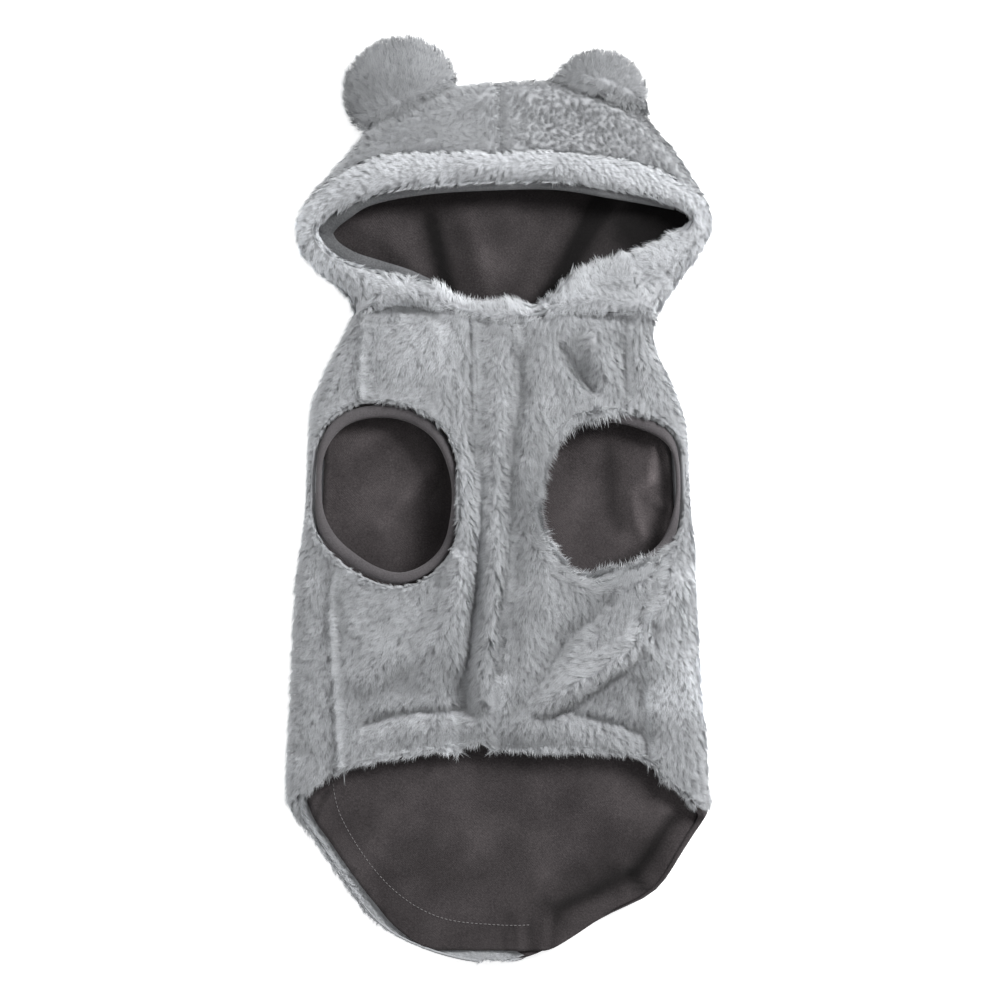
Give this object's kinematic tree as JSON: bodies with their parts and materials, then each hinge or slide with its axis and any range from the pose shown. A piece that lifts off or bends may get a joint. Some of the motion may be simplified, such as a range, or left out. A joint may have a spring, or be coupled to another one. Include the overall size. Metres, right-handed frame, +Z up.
{
  "type": "hooded dog coat",
  "caption": "Hooded dog coat of grey plush with a dark lining, bound armholes, a front placket and round ears, laid flat with its belly side up.",
  "frame": {"origin": "The middle of the laid-out coat in plan, on the surface that it lies on.", "axes": "+X runs across the coat to its right as seen from above with the hood away from the viewer, +Y runs along it from the tail to the hood, and +Z points up from the surface."},
  "size_m": [0.2552, 0.5538, 0.0377],
  "materials": {
    "plush": "soft grey long-pile plush",
    "lining": "matt dark warm-grey knit fleece",
    "tape": "matt dark grey knit tape"
  },
  "bodies": {
    "root": {"back_panel": "plush", "front_left": "plush", "front_right": "plush", "placket": "plush", "armhole_binding_left": "tape", "armhole_binding_right": "tape", "back_lining": "lining", "hood_left": "plush", "hood_right": "plush", "hood_brim": "plush", "hood_lining": "lining", "ear_left": "plush", "ear_right": "plush"}
  },
  "joints": []
}
